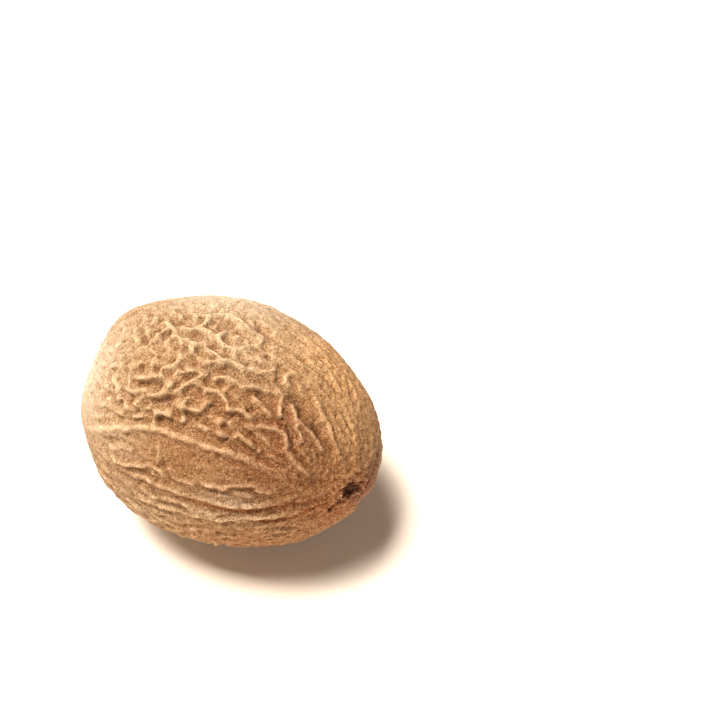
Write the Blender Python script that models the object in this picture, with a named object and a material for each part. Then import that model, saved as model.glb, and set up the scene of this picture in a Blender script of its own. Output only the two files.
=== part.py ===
"""Whole nutmeg: the dried, wrinkled seed of the nutmeg tree, lying on its side.

The seed is one egg-shaped solid. The hilum, a pale round scar, is at its broad end
(-X), and the chalaza, a small dark pit, is near its narrow end (+X). The raphe, a
double furrow, joins the two along the lower front. Units are metres, +Z is up, and
the origin is on the surface that the seed rests on, under the middle of its box.

A place on the seed is a station and an angle, both in degrees. The station runs from
0 at the narrow end to 180 at the broad end, and the angle runs round the length axis,
from 0 on top through 90 at the front (-Y) and 180 below to -90 at the back.
"""

import math

import bmesh
import bpy
import numpy as np
from mathutils import Vector, noise

MM = 0.001

# The egg shape.
HALF_LENGTH = 12.89 * MM
HALF_WIDTH = 10.33 * MM
HALF_HEIGHT = 10.16 * MM
TAPER = 0.10            # how much slimmer than the middle the narrow end is
SHOULDER = 0.016        # pulls both ends in a little from a true ellipse
TILT = math.radians(3)  # the narrow end dips by this much as the seed lies

# Broad swellings and one hollow: station, angle, height, reach in radians.
SWELLINGS = (
    (145, -30, 0.56 * MM, 0.33),
    (123, -44, -0.35 * MM, 0.24),
    (51, 116, 0.23 * MM, 0.31),
    (70, -120, 0.30 * MM, 0.45),
    (115, 170, -0.20 * MM, 0.40),
)

# The two ends of the raphe.
CHALAZA = (25, 59)
CHALAZA_PIT_RADIUS = 0.75 * MM
CHALAZA_PIT_DEPTH = 0.45 * MM
CHALAZA_RIM_RADIUS = 1.7 * MM
CHALAZA_RIM_HALF_WIDTH = 0.85 * MM
CHALAZA_RIM_HEIGHT = 0.12 * MM
PUCKERS = 11            # low folds that stand round the chalaza like the hours of a dial
PUCKER_HEIGHT = 0.07 * MM
PUCKER_RING_RADIUS = 3.7 * MM
PUCKER_RING_HALF_WIDTH = 1.7 * MM
HILUM = (168, 140)
HILUM_RADIUS = 2.7 * MM
HILUM_EDGE = 0.32 * MM
HILUM_HEIGHT = 0.22 * MM
HILUM_DIMPLE_RADIUS = 0.6 * MM
HILUM_DIMPLE_DEPTH = 0.30 * MM

# Folds of the skin: crest height, half-width of the crest, side of the furrow beside it
# (1 towards larger angles, -1 towards smaller ones, 0 for none) and furrow depth, all
# lengths in millimetres, then the route along the crest. A crest below zero is a furrow.
FOLDS = (
    # the long fold across the front
    (0.29, 0.36, -1, 0.15, ((146, 75), (135.5, 60), (121, 50), (109.5, 43.5), (95, 42.5), (76, 43.5),
                            (64, 47), (55, 51))),
    # folds of the upper front
    (0.19, 0.30, 1, 0.11, ((127, 23), (120, 22), (113, 19.5))),
    (0.19, 0.30, 1, 0.11, ((118, 30.5), (110, 27), (103.5, 22.5))),
    (0.22, 0.30, 1, 0.10, ((105, 31), (97, 29), (94, 25), (93, 22))),
    (0.22, 0.30, 1, 0.10, ((97, 21.5), (92, 17.5), (87, 21), (85, 23.5), (78, 24))),
    (0.18, 0.30, 1, 0.09, ((112, 38), (107, 35), (102, 36.5))),
    (0.19, 0.28, 0, 0, ((110, 17.5), (104, 13), (99, 13.5), (101, 17), (104, 19))),
    # the upper fold and its valley
    (0.22, 0.34, 1, 0.13, ((101, 8), (92, 2.5), (83, 2), (75, -4))),
    (0.21, 0.30, 1, 0.10, ((95, 14), (91, 11), (84, 11.5), (75, 9), (70, 6.5))),
    # folds that run down to the chalaza, and the valley beside them
    (0.25, 0.32, -1, 0.19, ((66, 7.5), (60.5, 15), (50, 21), (44, 29))),
    (0.16, 0.28, 1, 0.09, ((60.5, 18), (57, 23.5), (55, 27))),
    (0.26, 0.34, -1, 0.15, ((77, 28), (70, 26), (63, 26), (59, 35), (52, 41.5), (46, 47))),
    (0.20, 0.30, -1, 0.10, ((81, 32.5), (74, 36), (68.5, 39))),
    (-0.36, 0.50, 0, 0, ((68, 4.5), (59, 9), (49, 16), (42, 23), (37, 29))),
    (0.19, 0.30, 0, 0, ((58, -1.5), (51.5, 5), (45.5, 12), (40, 20.5), (35.5, 26))),
    # short folds under the smooth hollow
    (0.17, 0.28, 1, 0.09, ((100, 58.5), (97, 63), (89, 63))),
    (0.18, 0.28, 1, 0.09, ((91, 61), (79, 61.5), (68, 57), (58, 59))),
    # the fold under the raphe
    (0.19, 0.30, 1, 0.10, ((114, 87.5), (105.5, 85), (99, 84), (90, 82.5), (75, 80.5), (60, 76.5), (50, 75))),
    # the arch and the hooks of the upper left
    (0.17, 0.34, 1, 0.10, ((108, -18), (100, -23.5), (90, -19))),
    (0.15, 0.32, 1, 0.08, ((127, -8), (121, -9), (117, -6), (117, -1))),
    (0.18, 0.32, 1, 0.10, ((128, 31), (118, 28))),
)
FURROW_OFFSET = 2.2     # from the crest, in half-widths of the crest
FURROW_WIDTH = 1.3      # likewise
SHARP_SHARE = 0.6       # of the crest; the rest is a foot twice as wide
ROUTE_FADE = 0.12       # share of a route over which it rises from the skin
FADE_POWER = 0.7        # below 1 a route rises steeply first

# The raphe: two furrows side by side with a lip over the upper one. The upper furrow
# comes up from almost nothing at the broad end, where only the lip is left.
RAPHE_DEPTH = 0.18 * MM
RAPHE_HALF_WIDTH = 0.34 * MM
RAPHE_LIP = 0.13 * MM
RAPHE_LIP_OFFSET = 0.62 * MM
RAPHE_UPPER = (
    (161, 121), (150, 99), (134, 83), (118, 77), (102, 74), (88, 73.5),
    (72, 74.5), (58.5, 70.5), (47, 68.5), (40, 66),
)
RAPHE_FAINT = (0.50, 0.66)  # share of the route between which the furrow comes up
RAPHE_REMNANT = 0.2         # share of its depth at the broad end
RAPHE_LIP_REMNANT = 0.3     # the same for the lip
RAPHE_LOWER = ((69, 80.5), (56, 80), (47, 76), (40.5, 70.5), (33, 66))
RAPHE_LOWER_DEPTH = 0.15 * MM
RAPHE_LOWER_FADE = 0.2

# The wrinkles that cover the rest: rounded ridges that settle out of two noises round
# the named folds, one noise stretched along the seed and one as long as it is wide.
WRINKLE_HEIGHT = 0.23 * MM
WRINKLE_SPACING = 0.85 * MM
WRINKLE_LENGTH = 2.6 * MM
NET_SPACING = 0.80 * MM
SETTLING = 3            # rounds of settling
RIDGE_BLUR = 6          # blur of the ridges in each round
VALLEY_BLUR = 42        # blur of the valleys in each round
RIDGE_CONTRAST = 3.2
RIDGE_SLIMNESS = 1.6    # above 1 the crests are slimmer than the valleys
RIDGE_BASE = 0.35       # share of the wrinkle height that lies under the mean surface
PIN_HEIGHT = 0.16 * MM  # a named fold this high holds the ridges in place
PIN_LIMIT = 1.5
UNEVENNESS = 0.9        # how much the wrinkle height varies from place to place
UNEVEN_SIZE = 1.8 * MM
STRETCHED_SHIFT = (3.1, 7.7, 1.9)
EVEN_SHIFT = (9.2, 3.3, 0.7)
UNEVEN_SHIFT = (8.0, 1.0, 5.0)
NOISE_STRENGTH = 3.0
ROOM_GAIN = 1.25        # how soon the wrinkles reach full height away from chalaza and hilum
SMOOTH_ZONES = (
    # station, angle, reach in radians, share of the wrinkles taken away
    (118, -52, 0.42, 0.85),
    (148, -10, 0.32, 0.40),
    (75, -48, 0.40, 0.55),
    (55, -20, 0.45, 0.60),
    (40, 0, 0.30, 0.60),
    (95, 53, 0.22, 0.85),
    (78, 52, 0.18, 0.80),
    (112, 55, 0.18, 0.75),
    (60, 50, 0.18, 0.60),
    (158, 20, 0.30, 0.35),
    (150, 75, 0.35, 0.50),
    (122, 82, 0.35, 0.50),
    (85, 75, 0.30, 0.35),
    (25, 40, 0.45, 0.80),
    (172, 60, 0.30, 0.50),
    (85, 128, 0.45, 0.45),
    (45, 110, 0.40, 0.45),
    (15, -20, 0.50, 0.60),
    (60, -60, 0.50, 0.50),
)
# Where the wrinkles run every way: station, angle, reach in radians, share.
NET_ZONES = (
    (115, -5, 0.45, 0.95),
    (128, 15, 0.40, 0.9),
    (94, -5, 0.40, 0.9),
    (80, 10, 0.35, 0.8),
    (105, 30, 0.35, 0.8),
    (65, 25, 0.30, 0.5),
    (85, 105, 0.45, 0.7),
    (130, 80, 0.35, 0.5),
)

# The flat spot that the seed rests on, under its centre of mass, and the calm skin round it.
SPOT_RADIUS = 2.6 * MM
SPOT_PLACE = (92, 180)
SPOT_CALM_REACH = 0.33

BLOCK_SIZE = 40 * MM    # the block under the resting surface that cuts the flat spot

GRID = 96               # squares along each edge of the cube that is blown up to a ball
FACES = 9600            # triangles left on the finished solid
COORDINATE_DIGITS = 7   # decimals of a metre that are kept


def direction(station, angle):
    """Unit vector towards a place, given in degrees."""
    s, a = math.radians(station), math.radians(angle)
    return np.array((math.cos(s), -math.sin(s) * math.sin(a), math.sin(s) * math.cos(a)))


def egg(u):
    """Points of the smooth egg shape in the directions u."""
    ring = np.hypot(u[:, 1], u[:, 2])
    girth = ring ** SHOULDER * (1.0 - TAPER * u[:, 0])
    sideways, upward = HALF_WIDTH * girth * u[:, 1], HALF_HEIGHT * girth * u[:, 2]
    return np.column_stack((HALF_LENGTH * u[:, 0], sideways, upward))


def outward(points):
    """Unit normals of the smooth egg shape at its points."""
    normal = points / np.array((HALF_LENGTH, HALF_WIDTH, HALF_HEIGHT)) ** 2
    return normal / np.linalg.norm(normal, axis=1)[:, None]


def bump(u, station, angle, reach):
    """Soft round bump of height 1, as wide as reach in radians."""
    return np.exp(-2.0 * (1.0 - u @ direction(station, angle)) / reach ** 2)


def zone(u, spots):
    """Union of soft spots, from 0 to their greatest share."""
    open_share = np.ones(len(u))
    for station, angle, reach, share in spots:
        open_share *= 1.0 - share * bump(u, station, angle, reach)
    return 1.0 - open_share


def noise_at(places, shift):
    """Smooth noise from -1 to 1 at each place, moved by shift."""
    return np.array([noise.noise(Vector(place) + Vector(shift)) for place in places])


def smooth_route(places, steps=5):
    """Points on the egg along a smooth curve through the places."""
    p = np.array([places[0], *places, places[-1]], float)
    ways = []
    for a, b, c, d in zip(p, p[1:], p[2:], p[3:]):
        for t in np.arange(steps) / steps:
            ways.append(0.5 * (2 * b + (c - a) * t + (2 * a - 5 * b + 4 * c - d) * t ** 2
                               + (3 * b - a - 3 * c + d) * t ** 3))
    ways.append(p[-1])
    return egg(np.array([direction(*way) for way in ways]))


def along_route(points, normals, places):
    """For each point: its signed distance from the route, and how far along it lies (0 to 1)."""
    route = smooth_route(places)
    lengths = np.linalg.norm(np.diff(route, axis=0), axis=1)
    starts = np.concatenate(((0.0,), np.cumsum(lengths)))
    best = np.full(len(points), HALF_LENGTH)
    side = np.ones(len(points))
    share = np.zeros(len(points))
    for a, b, length, start in zip(route, route[1:], lengths, starts):
        way = (b - a) / length
        offset = points - a
        t = np.clip(offset @ way, 0.0, length)
        gap = np.linalg.norm(offset - t[:, None] * way, axis=1)
        near = gap < best
        best[near] = gap[near]
        # Routes run from a high station to a low one, so this side faces larger angles.
        side[near] = -np.sign(np.einsum("ij,ij->i", np.cross(way, offset[near]), normals[near]))
        share[near] = (start + t[near]) / starts[-1]
    return best * side, share


def faded(share, end=ROUTE_FADE):
    """1 along the middle of a route, falling to 0 at its two ends."""
    return np.clip(np.minimum(share, 1.0 - share) / end, 0.0, 1.0) ** FADE_POWER


def groove(gap, half_width):
    """1 where the gap is 0, falling off to both sides like a bell."""
    return np.exp(-(gap / half_width) ** 2)


def folds(points, normals):
    """Height of the named folds."""
    height = np.zeros(len(points))
    for crest, half_width, side, depth, places in FOLDS:
        gap, share = along_route(points, normals, places)
        gap /= MM
        strength = faded(share)
        height += SHARP_SHARE * crest * strength * groove(gap, half_width)
        height += (1.0 - SHARP_SHARE) * crest * strength * groove(gap, 2.0 * half_width)
        if side:
            offset = side * FURROW_OFFSET * half_width
            height -= depth * strength * groove(gap - offset, FURROW_WIDTH * half_width)
    return height * MM


def raphe(points, normals):
    """The double furrow from the chalaza to the hilum."""
    gap, share = along_route(points, normals, RAPHE_UPPER)
    full = np.interp(share, RAPHE_FAINT, (0.0, 1.0))
    lip = RAPHE_LIP * (RAPHE_LIP_REMNANT + (1.0 - RAPHE_LIP_REMNANT) * full)
    depth = RAPHE_DEPTH * (RAPHE_REMNANT + (1.0 - RAPHE_REMNANT) * full)
    height = lip * groove(gap + RAPHE_LIP_OFFSET, RAPHE_HALF_WIDTH) - depth * groove(gap, RAPHE_HALF_WIDTH)
    height *= faded(share)
    gap, share = along_route(points, normals, RAPHE_LOWER)
    return height - RAPHE_LOWER_DEPTH * faded(share, RAPHE_LOWER_FADE) * groove(gap, RAPHE_HALF_WIDTH)


def flow(u):
    """How far along and round each direction lies in a net of lines from chalaza to hilum."""
    pole = direction(*CHALAZA)
    east = np.cross(pole, (0.0, 0.0, 1.0))
    east /= np.linalg.norm(east)
    north = np.cross(pole, east)

    def flat(v):
        return (v @ east + 1j * (v @ north)) / np.maximum(1.0 - v @ pole, 1e-6)

    z = flat(u) - flat(direction(*HILUM)[None])
    return np.log(np.maximum(np.abs(z), 1e-4)), np.angle(z)


def room(u):
    """Width of the net's meshes in each direction, from 0 at its two ends to about 1 between them."""
    first, last = direction(*CHALAZA), direction(*HILUM)
    return np.linalg.norm(u - first, axis=1) * np.linalg.norm(u - last, axis=1) / np.linalg.norm(first - last)


def rough_skin(u, smooth):
    """The noise that the wrinkles settle out of."""
    along, around = flow(u)
    ring = HALF_WIDTH / WRINKLE_SPACING
    lengthwise = HALF_LENGTH / WRINKLE_LENGTH
    places = np.column_stack((ring * np.cos(around), ring * np.sin(around), lengthwise * along))
    share = zone(u, NET_ZONES)
    even = noise_at(smooth / NET_SPACING, EVEN_SHIFT)
    return NOISE_STRENGTH * (share * even + (1.0 - share) * noise_at(places, STRETCHED_SHIFT))


def blurred(values, edges, rounds):
    """The values averaged with their neighbours' along the edges, again and again."""
    count = np.bincount(edges.ravel(), minlength=len(values))
    for _ in range(rounds):
        total = np.bincount(edges[:, 0], values[edges[:, 1]], len(values))
        total += np.bincount(edges[:, 1], values[edges[:, 0]], len(values))
        values = 0.5 * values + 0.5 * total / count
    return values


def wrinkles(u, smooth, named, edges):
    """Height of the wrinkles, which settle round the named folds."""
    ridges = rough_skin(u, smooth)
    pinned = np.clip(named / PIN_HEIGHT, -PIN_LIMIT, PIN_LIMIT)
    for _ in range(SETTLING):
        slim = blurred(ridges, edges, RIDGE_BLUR)
        ridges = np.tanh(RIDGE_CONTRAST * (slim - blurred(slim, edges, VALLEY_BLUR)) + pinned)
    ridges = (0.5 + 0.5 * blurred(ridges, edges, 1)) ** RIDGE_SLIMNESS - RIDGE_BASE
    uneven = 1.0 + UNEVENNESS * noise_at(smooth / UNEVEN_SIZE, UNEVEN_SHIFT)
    calm = (1.0 - zone(u, SMOOTH_ZONES)) * np.minimum(1.0, ROOM_GAIN * room(u))
    return WRINKLE_HEIGHT * uneven * calm * ridges


def chalaza(u, points):
    """The dark pit at the narrow end, with its rim and the puckers round it."""
    middle = egg(direction(*CHALAZA)[None])[0]
    gap = np.linalg.norm(points - middle, axis=1)
    height = CHALAZA_RIM_HEIGHT * groove(gap - CHALAZA_RIM_RADIUS, CHALAZA_RIM_HALF_WIDTH)
    height -= CHALAZA_PIT_DEPTH * groove(gap, CHALAZA_PIT_RADIUS)
    around = flow(u)[1]
    ring = groove(gap - PUCKER_RING_RADIUS, PUCKER_RING_HALF_WIDTH)
    return height + PUCKER_HEIGHT * ring * np.cos(PUCKERS * around)


def hilum(points):
    """The low round scar at the broad end, with a dimple in its middle."""
    middle = egg(direction(*HILUM)[None])[0]
    gap = np.linalg.norm(points - middle, axis=1)
    disc = 1.0 / (1.0 + np.exp((gap - HILUM_RADIUS) / HILUM_EDGE))
    return HILUM_HEIGHT * disc - HILUM_DIMPLE_DEPTH * groove(gap, HILUM_DIMPLE_RADIUS)


def surface(u, edges):
    """Points of the finished seed in the directions u, tilted as it lies."""
    smooth = egg(u)
    normals = outward(smooth)
    points = smooth.copy()
    for station, angle, height, reach in SWELLINGS:
        points += height * u * bump(u, station, angle, reach)[:, None]
    named = folds(smooth, normals) + raphe(smooth, normals) + chalaza(u, smooth) + hilum(smooth)
    relief = named + wrinkles(u, smooth, named, edges)
    relief *= 1.0 - bump(u, *SPOT_PLACE, SPOT_CALM_REACH)
    points += relief[:, None] * normals
    c, s = math.cos(TILT), math.sin(TILT)
    return points @ np.array(((c, 0.0, s), (0.0, 1.0, 0.0), (-s, 0.0, c))).T


def blown_up_cube(grid):
    """A ball of even squares: a subdivided cube whose points are pushed out to radius 1."""
    bm = bmesh.new()
    bmesh.ops.create_cube(bm, size=2.0)
    bmesh.ops.subdivide_edges(bm, edges=bm.edges[:], cuts=grid - 1, use_grid_fill=True)
    for vertex in bm.verts:
        even = [math.tan(value * math.pi / 4) for value in vertex.co]
        vertex.co = Vector(even).normalized()
    return bm


def seed_mesh():
    """The seed's fine mesh, with the underside low enough for the flat spot to be cut."""
    bm = blown_up_cube(GRID)
    bm.verts.index_update()
    u = np.array([vertex.co[:] for vertex in bm.verts])
    u /= np.linalg.norm(u, axis=1)[:, None]
    edges = np.array([[vertex.index for vertex in edge.verts] for edge in bm.edges])
    points = surface(u, edges)
    spot_depth = SPOT_RADIUS ** 2 / (HALF_WIDTH + HALF_LENGTH)
    middle = 0.5 * (points.min(axis=0) + points.max(axis=0))
    points -= (middle[0], middle[1], points[:, 2].min() + spot_depth)
    for vertex, point in zip(bm.verts, np.round(points, COORDINATE_DIGITS)):
        vertex.co = point
    bmesh.ops.triangulate(bm, faces=bm.faces[:])
    mesh = bpy.data.meshes.new("nutmeg")
    bm.to_mesh(mesh)
    bm.free()
    mesh.shade_smooth()
    return mesh


def seed_material():
    material = bpy.data.materials.new("dried_seed_coat")
    material.use_nodes = True
    shader = material.node_tree.nodes["Principled BSDF"]
    shader.inputs["Base Color"].default_value = (0.47, 0.24, 0.10, 1.0)
    shader.inputs["Roughness"].default_value = 0.82
    shader.inputs["Metallic"].default_value = 0.0
    return material


def floor_cutter(collection):
    """A block under the resting surface, which cuts the flat spot."""
    bpy.ops.mesh.primitive_cube_add(size=BLOCK_SIZE, location=(0.0, 0.0, -BLOCK_SIZE / 2))
    block = bpy.context.object
    block.name = "resting_surface"
    block.hide_render = True
    block.display_type = "WIRE"
    for holder in block.users_collection:
        holder.objects.unlink(block)
    collection.objects.link(block)
    return block


def main():
    for obj in list(bpy.data.objects):
        bpy.data.objects.remove(obj, do_unlink=True)
    parts = bpy.data.collections.new("whole_nutmeg")
    cutters = bpy.data.collections.new("cutters")
    for collection in (parts, cutters):
        bpy.context.scene.collection.children.link(collection)

    mesh = seed_mesh()
    mesh.materials.append(seed_material())
    nutmeg = bpy.data.objects.new("nutmeg", mesh)
    parts.objects.link(nutmeg)
    fewer = nutmeg.modifiers.new("fewer_faces", "DECIMATE")
    fewer.ratio = FACES / len(mesh.polygons)
    fewer.use_collapse_triangulate = True
    spot = nutmeg.modifiers.new("flat_spot", "BOOLEAN")
    spot.operation = "DIFFERENCE"
    spot.object = floor_cutter(cutters)


main()
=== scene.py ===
"""The looks of a whole nutmeg: its wrinkled skin, its materials, the studio and the camera.

Units are metres, in the frame of the solids. A place on the seed is a station and an
angle, both in degrees. The station runs from 0 at the narrow end (+X) to 180 at the
broad end, and the angle runs round the length axis, from 0 on top through 90 at the
front (-Y) and 180 below to -90 at the back. A spot on the skin is a place, a reach in
radians and a share.
"""
import math

import bmesh
import bpy
import numpy as np
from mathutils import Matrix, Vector, noise


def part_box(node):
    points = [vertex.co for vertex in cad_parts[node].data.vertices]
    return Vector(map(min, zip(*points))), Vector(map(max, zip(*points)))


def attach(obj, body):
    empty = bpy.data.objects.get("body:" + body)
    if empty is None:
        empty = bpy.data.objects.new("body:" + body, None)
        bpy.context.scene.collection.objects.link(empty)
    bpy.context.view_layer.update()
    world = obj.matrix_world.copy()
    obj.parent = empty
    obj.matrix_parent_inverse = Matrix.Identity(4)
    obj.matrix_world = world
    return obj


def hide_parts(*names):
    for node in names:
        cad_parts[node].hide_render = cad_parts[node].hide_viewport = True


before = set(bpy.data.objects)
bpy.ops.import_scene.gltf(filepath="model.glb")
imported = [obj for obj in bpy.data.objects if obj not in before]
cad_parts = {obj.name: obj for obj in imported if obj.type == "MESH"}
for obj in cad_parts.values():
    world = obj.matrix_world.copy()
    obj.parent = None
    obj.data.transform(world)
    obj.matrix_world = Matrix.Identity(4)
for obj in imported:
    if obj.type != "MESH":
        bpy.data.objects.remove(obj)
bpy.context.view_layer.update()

MM = 0.001
FAR = 1.0               # farther than any two points of the seed are apart

# The egg shape, as in the solid.
HALF_LENGTH = 12.89 * MM
HALF_WIDTH = 10.33 * MM
HALF_HEIGHT = 10.16 * MM
TAPER = 0.10
SHOULDER = 0.016
TILT = math.radians(3)
# Broad swellings and hollows: place, height and reach.
SWELLINGS = (
    (145, -30, 0.56 * MM, 0.33),
    (123, -44, -0.35 * MM, 0.24),
    (51, 116, 0.23 * MM, 0.31),
    (70, -120, 0.30 * MM, 0.45),
    (115, 170, -0.20 * MM, 0.40),
)
# The flat spot that the seed rests on, and the reach of the smooth skin round it.
SPOT_RADIUS = 2.6 * MM
SPOT_PLACE = (92, 180)
SPOT_CALM_REACH = 0.33

GRID = 192              # squares along each edge of the cube that is blown up to a ball
FACES = 198000          # triangles left on the finished skin

# The chalaza: a ragged pit with a smaller hollow that opens into it, and a rim, scaly skin
# and a ring of puckers round it.
CHALAZA = (25, 59)
CHALAZA_SIDE = (20.5, 60)
CHALAZA_SIDE_GAP = 0.30 * MM            # how much smaller the side hollow is
CHALAZA_DEPTH = 0.55 * MM
CHALAZA_PIT_RADIUS = 0.66 * MM
CHALAZA_PIT_EDGE = 0.10 * MM
CHALAZA_RIM_HEIGHT = 0.12 * MM
CHALAZA_RIM_RADIUS = 1.5 * MM
CHALAZA_RIM_HALF_WIDTH = 0.7 * MM
SCALES_HEIGHT = 0.16 * MM
SCALES_SIZE = 0.42 * MM
SCALES_RADIUS = 1.2 * MM
SCALES_HALF_WIDTH = 0.9 * MM
PUCKERS = 11
PUCKER_HEIGHT = 0.07 * MM
PUCKER_RING_RADIUS = 3.7 * MM
PUCKER_RING_HALF_WIDTH = 1.7 * MM

# The crack beside the chalaza, and how dark it and the chalaza are.
CRACK = ((35, 84), (32.5, 77), (30.5, 72.5), (29, 69))
CRACK_HALF_WIDTH = 0.16 * MM
CRACK_DARKNESS = 0.75
DARK_RADIUS = 0.76 * MM
DARK_EDGE = 0.13 * MM

# The hilum: a low round scar with a dimple in its middle.
HILUM = (168, 140)
HILUM_HEIGHT = 0.22 * MM
HILUM_RADIUS = 2.7 * MM
HILUM_EDGE = 0.32 * MM
HILUM_DIMPLE_DEPTH = 0.30 * MM
HILUM_DIMPLE_RADIUS = 0.6 * MM

# Folds of the skin: crest height, half-width of the crest, side of the furrow beside it
# (1 towards larger angles, -1 towards smaller ones, 0 for none) and furrow depth, all
# lengths in millimetres, then the route along the crest. A crest below zero is a hollow.
FOLDS = (
    # the long fold across the front
    (0.34, 0.34, -1, 0.22, ((146, 75), (141, 67), (135.5, 60), (128, 54), (121, 50), (115.5, 46),
                            (109.5, 43.5), (104, 43), (95, 42.5), (85.5, 43), (76, 43.5), (70.5, 45),
                            (64, 47), (55, 51))),
    # folds of the upper front
    (0.22, 0.21, 1, 0.16, ((127, 23), (120, 22), (113, 19.5))),
    (0.24, 0.21, 1, 0.16, ((118, 30.5), (110, 27), (107, 25.5), (103.5, 22.5))),
    (0.27, 0.21, 1, 0.15, ((105, 31), (101, 29.5), (97, 29), (95, 27.5), (94, 25), (93, 22))),
    (0.27, 0.21, 1, 0.15, ((97, 21.5), (95, 19), (92, 17.5), (90, 18.5), (87, 21), (86, 23.5), (82, 23),
                           (78, 24), (75, 26.5))),
    (0.20, 0.21, 1, 0.14, ((112, 38), (109, 35.5), (106.5, 35), (102, 36.5))),
    (0.26, 0.20, 0, 0, ((110, 17.5), (107, 15), (104, 13), (101, 12), (99, 13.5), (101, 17), (104, 19))),
    (0.18, 0.20, -1, 0.14, ((121, 43), (115, 40), (110, 39))),
    (-0.20, 0.36, 0, 0, ((115, 33), (110.5, 32), (106.5, 29))),
    (-0.15, 0.28, 0, 0, ((120, 25), (115.5, 24.5), (112, 22.5))),
    (-0.17, 0.26, 0, 0, ((97, 7), (96, 12), (96.5, 18), (99, 21.5), (104, 22.5))),
    (-0.17, 0.24, 0, 0, ((92, 20), (90, 24), (89, 28.5))),
    (-0.12, 0.24, 0, 0, ((87.5, 18), (85.5, 21), (84.5, 23.5))),
    (-0.12, 0.40, 0, 0, ((100, 34), (94.5, 33.5), (89.5, 31.5))),
    # the upper fold and its hollow
    (0.26, 0.26, 1, 0.20, ((101, 8), (96, 4.5), (92, 2.5), (88, 3), (83, 2), (80, 1), (75, -4))),
    (0.24, 0.21, 1, 0.14, ((95, 14), (94, 12.5), (91, 11), (87, 10.5), (84, 11.5), (80, 9.5), (75, 9),
                           (70, 6.5))),
    (0.16, 0.18, 1, 0.10, ((69.5, 9), (68, 14), (67, 19))),
    (-0.14, 0.34, 0, 0, ((83.5, 16.5), (79.5, 15), (74.5, 13), (70.5, 12))),
    # folds that run down to the chalaza, and the valley beside them
    (0.29, 0.24, -1, 0.23, ((66, 7.5), (62, 13), (60.5, 15), (54, 19), (50, 21), (46, 25), (44, 29))),
    (0.20, 0.20, 1, 0.14, ((60.5, 18), (59, 21), (57, 23.5), (55, 27))),
    (0.30, 0.23, -1, 0.19, ((77, 28), (74, 27), (70, 26), (66, 25), (63, 26), (61.5, 29), (59, 35),
                            (55, 39), (52, 41.5), (46, 47))),
    (0.24, 0.21, -1, 0.15, ((81, 32.5), (77, 34), (74, 36), (71, 37.5), (68.5, 39))),
    (-0.46, 0.58, 0, 0, ((68, 4.5), (62, 5.5), (59, 9), (54, 11.5), (49, 16), (45, 20), (42, 23),
                         (37, 29))),
    (0.24, 0.26, 0, 0, ((58, -1.5), (51.5, 5), (45.5, 12), (40, 20.5), (35.5, 26))),
    (0.14, 0.18, -1, 0.10, ((48, 2), (41.5, 8), (36, 14))),
    (-0.11, 0.15, 0, 0, ((49, -9), (41, -3.5), (34, 5))),
    (-0.11, 0.15, 0, 0, ((38, -9), (30.5, -1.5), (26, 7))),
    # short folds under the smooth hollow
    (0.21, 0.18, 1, 0.14, ((100, 58.5), (98, 62), (96, 63.5), (89, 63))),
    (0.22, 0.18, 1, 0.14, ((91, 61), (82, 61), (79, 61.5), (77, 59.5), (73, 58), (68, 57), (66, 59.5),
                           (58, 59))),
    (0.28, 0.16, 0, 0, ((106.5, 49), (105, 54), (104.5, 60))),
    # thin folds of the lower left
    (0.20, 0.15, 1, 0.05, ((130.5, 69), (121.5, 71), (114.5, 66.5), (107.5, 62), (103, 62.5),
                           (98.5, 65))),
    (-0.12, 0.18, 0, 0, ((124, 75), (118, 76.5), (114, 75.5), (108, 73), (102, 71))),
    (0.18, 0.16, 1, 0.05, ((132, 93), (124, 92.5), (116.5, 93.5), (108, 95))),
    # the fold under the raphe
    (0.18, 0.20, 1, 0.10, ((114, 87.5), (105.5, 85), (100, 84), (95, 82.5), (90, 82.5), (80, 81.5),
                           (75, 80.5), (68, 78), (60, 76.5), (50, 75))),
    # the dotted furrow of the upper back and the thin ones beyond it
    (-0.30, 0.24, 0, 0, ((93, -28.5), (87.5, -25), (81, -21), (72.5, -20.5), (65.5, -19.5), (55, -18.5),
                         (46, -17))),
    (-0.16, 0.16, 0, 0, ((58, -12), (52, -9.5), (47, -9))),
    (-0.18, 0.18, 0, 0, ((82, -34), (74, -32.5), (64, -30), (54, -28))),
    (-0.16, 0.18, 0, 0, ((84, -42), (70, -43), (56, -40), (44, -36))),
    (0.14, 0.20, 0, 0, ((76, -37), (66, -36), (56, -34), (46, -30))),
    (-0.60, 0.18, 0, 0, CRACK),
    # the arch and the hooks of the upper left
    (0.24, 0.28, 1, 0.12, ((108, -18), (104, -21.5), (100, -23.5), (96, -23), (90, -19))),
    (0.15, 0.30, 1, 0.12, ((127, -8), (121, -9), (117, -6), (117, -1))),
    (0.20, 0.22, 1, 0.15, ((128, 31), (122, 30), (118, 28))),
)
FOLD_SHARE = 0.78       # share of the folds' and pits' heights that the skin shows
FURROW_SHARE = 0.75     # share of the furrows' depths, before that
SLIMNESS = 0.84         # share of the crests' half-widths
CREST_UNEVENNESS = 0.45
CREST_UNEVEN_SIZE = 1.1 * MM
# A crest is a slim core on a wider skirt. Skirts and furrows are measured in half-widths.
CREST_CORE = 0.6
CREST_SKIRT = 0.4
SKIRT_WIDTH = 2.3
FURROW_OFFSET = 2.2
FURROW_WIDTH = 1.3

# Steps from one place of a route to the next, and how far beside a route its fold is felt.
ROUTE_STEPS = 5
ROUTE_MARGIN = 2.5 * MM
# How folds fade at the ends of their routes: the power of the fade, then the share of the
# route that it takes for each kind.
FADE_POWER = 0.7
FOLD_FADE = 0.12
FURROW_FADE = 0.3
RAPHE_FADE = 0.12
RAPHE_LOWER_FADE = 0.2
CRACK_FADE = 0.3

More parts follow.
